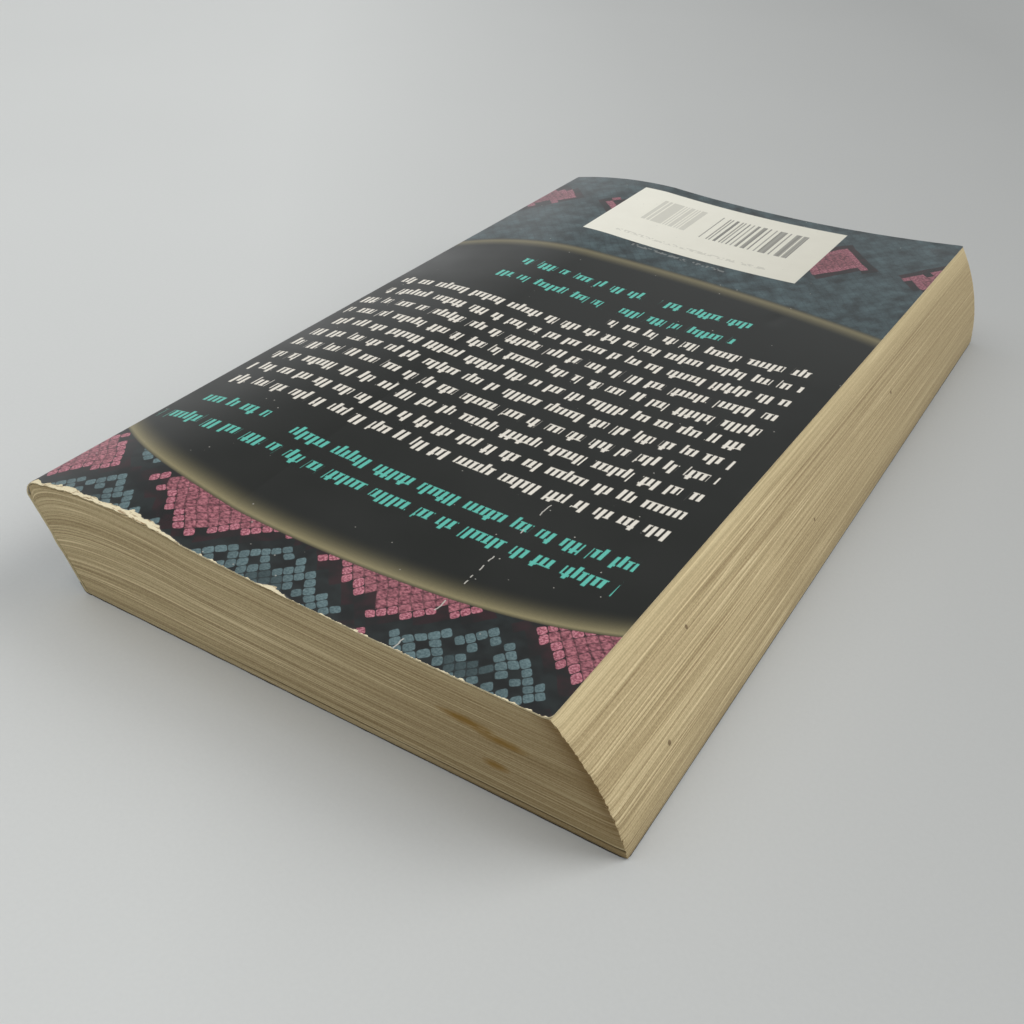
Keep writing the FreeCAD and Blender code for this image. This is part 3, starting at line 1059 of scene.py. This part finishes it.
        def height(where: Array) -> Array:
            """The leaf's share of the height under the cover."""
            return CARD + level * (np.interp(where, under[:, 0], under[:, 1]) - CARD)

        reach = 1.5 + 8.5 * np.sqrt(np.clip(1 - level, 0, 1))
        drop = height(start_x) - start_z
        z = height(x) - drop * np.exp(-(x - start_x) / reach)
        return np.stack([x, z], -1)

    def _ridges(self, place: Array, thick: Array, seed: int) -> Array:
        """How far each leaf's edge stands back: single leaves, bundles and thick bundles, added up."""
        sway = mottle(place, thick * 6, 22.0, seed)
        single = wobble(thick, 0.12, seed + 1)
        bundle = wobble(thick + 0.15 * sway, 0.45, seed + 2)
        thick_bundle = wobble(thick, 1.9, seed + 3)
        return self.ridge * (0.9 * single + 0.45 * bundle * (0.5 + sway) + 0.1 * thick_bundle)


# the cover


@dataclass(frozen=True)
class Fray:
    """Wear of the cover's head edge: torn width and set-back for each place across it."""

    depth: float = 0.13
    least: float = 0.02
    lip: float = 0.03
    sink: float = 0.035

    def width(self, x: Array) -> Array:
        """Torn width: strong from the nose to x -22, again at -3, and small nicks as far as 21."""
        strong = smooth(x, -58.5, -54) * (1 - smooth(x, -28, -20.5))
        lump = np.exp(-(((x + 3.2) / 2.0) ** 2))
        rough = 0.35 + 0.9 * wobble(x, 2.3, 5) + 0.45 * wobble(x, 0.6, 6)
        nicks = smooth(wobble(x, 1.1, 8), 0.78, 0.95) * (1 - smooth(x, 22, 46)) * 0.35
        return (strong * 1.05 + lump * 0.8) * rough + nicks

    def set_back(self, x: Array) -> Array:
        """How far the edge is worn back."""
        return self.least + 0.22 * self.width(x) * wobble(x, 0.9, 9) + 0.05 * wobble(x, 0.4, 10)

    def outside(self, points: Array) -> tuple[Array, Marks]:
        """An outer face (column, row, 3) with its head rows worn, and its Torn and Edge marks."""
        x = points[..., 0]
        from_head = points[..., 1] + HALF_HEIGHT
        width = self.width(x)
        moved = points.copy()
        moved[..., 1] += self.set_back(x) * head_fade(points[..., 1])
        torn = np.where(width > 0.04, smooth(width - from_head + 0.12, 0.0, 0.24), 0.0)
        lumps = mottle(x, from_head, 0.33, 21) * 0.6 + mottle(x, from_head, 0.9, 22) * 0.4
        lip = np.exp(-(((from_head - width) / 0.22) ** 2)) * (width > 0.2)
        moved[..., 2] -= torn * self.depth * (0.35 + lumps) - lip * self.lip
        moved[..., 2] -= self.sink
        return moved, {"Torn": torn, "Edge": from_head}

    def inside(self, inner: Array, sink: float = INNER_SINK) -> None:
        """Moves an inner face's head rows back like the outer one's, and lowers the face."""
        inner[..., 1] += self.set_back(inner[..., 0]) * head_fade(inner[..., 1])
        inner[..., 2] -= sink


def print_place(points: Array) -> Array:
    """A top face's place on the print: row-frame x and y turned by the print's angle."""
    cos = math.cos(PRINT_TURN)
    sin = math.sin(PRINT_TURN)
    p = points[..., 0] * cos - points[..., 1] * sin
    q = points[..., 0] * sin + points[..., 1] * cos
    return np.stack([p, q], -1)


def card_steps(points: Array) -> Array:
    """The lengths between a face's columns, along the card."""
    return np.linalg.norm(np.diff(points[..., [0, 2]], axis=0), axis=-1)


def wrapped(points: Array) -> Array:
    """The print's place round the spine: p is the last column's, less the way along the card."""
    way = np.concatenate([np.zeros((1, points.shape[1])), np.cumsum(card_steps(points), 0)])
    last = print_place(points[-1])
    p = last[None, :, 0] - (way[-1] - way)
    return np.stack([p, np.broadcast_to(last[None, :, 1], p.shape)], -1)


@dataclass
class CoverSheets:
    """The cover: back panel, spine strip and front panel, and the folds that join them.

    The back panel starts at past_fold, the fold's share of the top arc. The fold bends over twice its
    reach along its lean. A corner is cut just short of its radius. A dent is x, y, size and depth.
    """

    past_fold: float = 1.5 / 34.2
    fold_lean: float = math.radians(36)
    fold_reach: float = 1.25
    fray: Fray = Fray()
    corner: float = 1.2
    corner_cut: float = 1.18
    tail_fade: float = 1.6
    foot_level: float = 0.03
    dents: tuple[tuple[float, ...], ...] = (
        (27.0, 35.0, 1.3, 0.12),
        (45.0, 84.5, 1.6, 0.12),
        (20.0, -74.0, 2.4, 0.05),
    )
    rows: Array = field(default_factory=head_rows)

    def build(self, outside: Material, inside: Material, core: Material, lower_edge_card: Material) -> None:
        """All five sheets.

        Args:
            outside: the print.
            inside: the unprinted side.
            core: the cut edges of the upper sheets.
            lower_edge_card: the dark cut edges of the lower sheet.
        """
        upper = [outside, inside, core]
        lower = [outside, inside, lower_edge_card]
        self._back_panel(upper)
        self._back_fold(upper)
        self._spine_strip(upper)
        self._front_fold(lower)
        self._front_panel(lower)

    def _back_panel(self, finishes: list[Material]) -> None:
        """The back cover: the arcs from just past the fold to the edge, thickened along their normals."""
        across = np.concatenate([
            np.linspace(-54.2, -20.0, 172),
            np.linspace(-19.2, -7.2, 13),
            np.linspace(-6.8, 0.8, 32),
            np.linspace(1.6, 42.0, 54),
            43.4 + 1.15 * np.sin(np.linspace(0, 1, 8) * math.pi / 2),
        ])
        shares = self._share_at(across)
        outer, inner = BOOK.sheet(lambda end: end.outer(shares), self.rows)
        inset = np.clip(self.corner - (outer[-1, :, 0][None] - outer[..., 0]), 0, self.corner)
        rounded = self.corner - np.sqrt(self.corner**2 - inset**2)
        from_tail = np.clip(1 - (HALF_HEIGHT - inner[..., 1]) / 1.0, 0, 1)
        shift = rounded * head_fade(inner[..., 1]) - rounded * 0.5 * from_tail
        outer, marks = self.fray.outside(outer)
        self.fray.inside(inner)
        for face in (outer, inner):
            face[..., 1] += shift
            self._dent(face)
        piece = SheetMesh(outer, inner, print_place(outer), marks).build("back_cover_sheet", finishes)
        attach(piece, Body.BACK.value)
        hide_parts("back_cover")

    def _share_at(self, across: Array) -> Array:
        """The arcs' own places (0 to 2) for x at the head, by looking them up along the head's outline."""
        share = np.linspace(0, 2, 2400)
        found = np.interp(across, BOOK.head.outer(share)[:, 0], share)
        found = found[(found > self.past_fold + 1e-4) & (found < 2)]
        return np.concatenate([[self.past_fold], found, [2.0]])

    def _dent(self, face: Array) -> None:
        """Presses small dents into a face: a Gaussian dip at each (x, y) of its size and depth."""
        for x, y, size, depth in self.dents:
            away = ((face[..., 0] - x) ** 2 + (face[..., 1] - y) ** 2) / size**2
            face[..., 2] -= depth * np.exp(-away)

    def _back_fold(self, finishes: list[Material]) -> None:
        """The strip across the upper fold, from the shoulder to the panel; it does not follow the hinge."""
        place = np.concatenate([np.linspace(SHOULDER_CUT, 0, 9), np.linspace(0, self.past_fold, 9)[1:]])
        longer = np.concatenate([[place[0] - 0.02], place, [place[-1] + 0.001]])
        outer, inner = (face[1:-1] for face in BOOK.sheet(lambda end: end.outer(longer), self.rows))
        outer, marks = self.fray.outside(outer)
        self.fray.inside(inner)
        piece = SheetMesh(outer, inner, wrapped(outer), marks).build("back_fold", finishes)
        first = np.array([*BOOK.head.fold, -HALF_HEIGHT])[[0, 2, 1]]
        last = np.array([*BOOK.tail.fold, HALF_HEIGHT])[[0, 2, 1]]
        line = (last - first) / np.linalg.norm(last - first)
        across = np.array([math.cos(self.fold_lean), 0.0, math.sin(self.fold_lean)])
        across -= line * (across @ line)
        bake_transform(piece)

    def _spine_strip(self, finishes: list[Material]) -> None:
        """The strip over the spine: its straight line from above the foot to the nose, then the shoulder."""
        levels = np.linspace(SPINE_CUT, 1, 22)
        shoulder = np.linspace(-1, SHOULDER_CUT, 14)[1:]

        def line(end: EndSection) -> Array:
            """Spine line, then shoulder arc."""
            return np.concatenate([end.spine(levels), end.outer(shoulder)])

        plain, inner = BOOK.sheet(line, self.rows)
        outer, marks = self.fray.outside(plain)
        marks["Torn"] = marks["Torn"] * smooth(outer[..., 2], 17.2, 18.4)
        self.fray.inside(inner, 0.0)
        print_map = wrapped(outer)
        missed = np.stack([self._shoulder_way(), np.zeros(len(self.rows))], -1)
        print_map = print_map - print_map[-1:] + (print_place(plain[-1])[None] - missed[None])
        piece = SheetMesh(outer, inner, print_map, marks).build("spine_card", finishes)
        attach(piece, Body.ROOT.value)
        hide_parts("spine_cover")

    def _shoulder_way(self) -> Array:
        """What print_place misses at the strip's upper end because the shoulder is steep, for each row."""
        place = np.linspace(SHOULDER_CUT, 0, 9)
        line = BOOK.sweep(lambda end: end.outer(place), self.rows)
        return card_steps(line).sum(0) - (line[-1, :, 0] - line[0, :, 0])

    def _front_fold(self, finishes: list[Material]) -> None:
        """The strip across the lower fold: down the spine line, round the foot and along the underside."""
        levels = np.linspace(SPINE_CUT, self.foot_level, 6)
        t = np.linspace(0, 1, 9)[1:, None]
        control, stop = (np.array([FOOT_X + past, 0.0]) for past in (0.02, 0.6))
        run = np.stack([np.linspace(FOOT_X + 0.9, FOOT_X + FOOT_END, 3), np.zeros(3)], -1)

        def line(end: EndSection) -> Array:
            """Spine line, then a quadratic curve round the foot with its control point at the corner."""
            down = end.spine(levels)
            curve = down[-1] * (1 - t) ** 2 + control * 2 * t * (1 - t) + stop * t * t
            return np.concatenate([down, curve, run])[::-1]

        outer, inner = BOOK.sheet(line, self.rows)
        outer[..., 1] += self.fray.least * head_fade(outer[..., 1])
        marks = {"Torn": np.zeros(outer.shape[:2]), "Edge": outer[..., 1] + HALF_HEIGHT + 0.1}
        print_map = wrapped(outer)
        print_map[..., 0] += FOOT_P + 1.6 - print_map[-1:, :, 0]
        piece = SheetMesh(outer, inner, print_map, marks).build("front_fold", finishes)
        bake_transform(piece)

    def _front_panel(self, finishes: list[Material]) -> None:
        """The front cover: a flat sheet, print side down, with its fore corners rounded."""
        bend = FORE_X - self.corner
        quarter = np.linspace(0, 1, 9)[1:] * math.pi / 2
        across = np.concatenate([
            np.linspace(FOOT_X + FOOT_END, bend, 60),
            bend + self.corner_cut * np.sin(quarter),
        ])
        x, along = np.meshgrid(across, self.rows, indexing="ij")
        y = along * PAGE_HEIGHT - HALF_HEIGHT
        inset = np.clip(x - bend, 0, self.corner_cut)
        rounded = self.corner - np.sqrt(self.corner**2 - inset**2)
        near_tail = np.clip(1 - (HALF_HEIGHT - y) / self.tail_fade, 0, 1)
        worn = self.fray.least + 0.1 * wobble(x, 1.7, 31)
        y = y + (worn + rounded) * head_fade(y) - rounded * near_tail
        under = np.stack([x, y, np.zeros_like(x)], -1)
        over = under + np.array([0.0, 0.0, CARD])
        print_map = np.stack([FOOT_P - (x - FOOT_X), y + BOOK.head.fold[0] * math.sin(PRINT_TURN)], -1)
        marks = {"Torn": np.zeros_like(x), "Edge": (along * PAGE_HEIGHT + 0.04)[::-1]}
        sheet = SheetMesh(under[::-1], over[::-1], print_map[::-1], marks)
        piece = sheet.build("front_cover_sheet", finishes)
        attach(piece, Body.FRONT.value)
        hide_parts("front_cover")


# ground, light and camera


def stand(data: Any, right: Array, up: Array, back: Array, place: Array) -> bpy.types.Object:
    """A light or a camera, linked, from its three axes and its place in metres."""
    matrix = np.eye(4)
    matrix[:3] = np.stack([right, up, back, place], -1)
    made = bpy.data.objects.new(data.name, data)
    made.matrix_world = Matrix(matrix.tolist())
    bpy.context.scene.collection.objects.link(made)
    return made


@dataclass(frozen=True)
class Studio:
    """The ground, the lights and the camera."""

    eye: Place = (98.44, -184.68, 136.62)
    azimuth: float = 31.64
    elevation: float = 36.52
    roll: float = 0.46
    lens: float = 42.44
    sensor: float = 36.0
    half_ground: float = 3000.0
    daylight: Place = (1.0, 0.99, 0.97)

    def ground(self, finish: Material) -> None:
        """A flat sheet, too wide for its end to be seen."""
        points = np.array([[-1, -1, 0], [1, -1, 0], [1, 1, 0], [-1, 1, 0]]) * self.half_ground
        piece = new_piece("table", points, np.array([[0, 1, 2, 3]]), [finish], rounded=False)

    def lamp(self, name: str, place: Place, size: float, power: float) -> None:
        """A square soft light that faces the book.

        Args:
            name: the light's name.
            place: x, y and z in metres.
            size: its side in metres.
            power: watts.
        """
        data = bpy.data.lights.new(name, "AREA")
        data.shape = "SQUARE"
        data.size = size
        data.energy = power
        data.color = self.daylight
        away = np.array(place) / np.linalg.norm(place)
        side = np.cross([0.0, 0.0, 1.0], away)
        side /= np.linalg.norm(side)
        stand(data, side, np.cross(away, side), away, place)

    def sky(self) -> None:
        """Pale surroundings: brighter low down, dimmer overhead."""
        g = Graph("room", bpy.data.worlds)
        x, y, z = g.split(g.node("ShaderNodeTexCoord", None, None, "Generated"))
        patch = z.ramp(0.52, 0.38) * x.ramp(-0.33, -0.5) * y.ramp(0.6, 0.74)
        bright = z.ramp(0.42, 0.28).most(patch)
        colour = g.mix(bright, srgb(136, 138, 140), srgb(226, 228, 229))
        shade = g.node("ShaderNodeBackground", None, {"Color": colour})
        g.node("ShaderNodeOutputWorld", None, {"Surface": shade})
        bpy.context.scene.world = g.owner

    def camera(self) -> None:
        """The camera at the photograph's place and angle, with a small roll."""
        a = math.radians(self.azimuth)
        e = math.radians(self.elevation)
        r = math.radians(self.roll)
        back = np.array([math.sin(a) * math.cos(e), -math.cos(a) * math.cos(e), math.sin(e)])
        right = np.array([math.cos(a), math.sin(a), 0.0])
        up = np.cross(back, right)
        data = bpy.data.cameras.new("camera")
        data.lens = self.lens
        data.sensor_width = self.sensor
        data.sensor_fit = "HORIZONTAL"
        data.clip_start = 0.01
        rolled_right = math.cos(r) * right + math.sin(r) * up
        rolled_up = math.cos(r) * up - math.sin(r) * right
        bpy.context.scene.camera = stand(data, rolled_right, rolled_up, back, np.array(self.eye) * MM)

    def build(self) -> None:
        """Everything round the book."""
        self.ground(TableTop().material())
        self.lamp("near_window", (-0.55, -0.15, 1.05), 0.9, 5.0)
        self.lamp("far_window", (0.9, 0.9, 1.1), 1.2, 16.0)
        self.sky()
        self.camera()
        bpy.context.scene.view_settings.view_transform = "Standard"


def main() -> None:
    logging.basicConfig(level=logging.INFO, format="%(message)s")
    Studio().build()
    LOG.info("studio ready")
    PageBlock().build(PagePaper().material())
    outside = CoverPrint().material()
    inside = CardPaper("card_inside", srgb(213, 206, 187), srgb(205, 197, 177)).material()
    core = CardPaper("card_core", srgb(216, 202, 166), srgb(178, 160, 120)).material()
    lower_edge_card = CardPaper("card_lower_edge", srgb(64, 56, 46), srgb(34, 32, 30)).material()
    CoverSheets().build(outside, inside, core, lower_edge_card)
    glue = CardPaper("dried_glue", srgb(196, 180, 140), srgb(160, 142, 102), 0.6).material()
    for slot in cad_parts["spine_glue"].material_slots:
        slot.material = glue


if __name__ == "__main__":
    main()
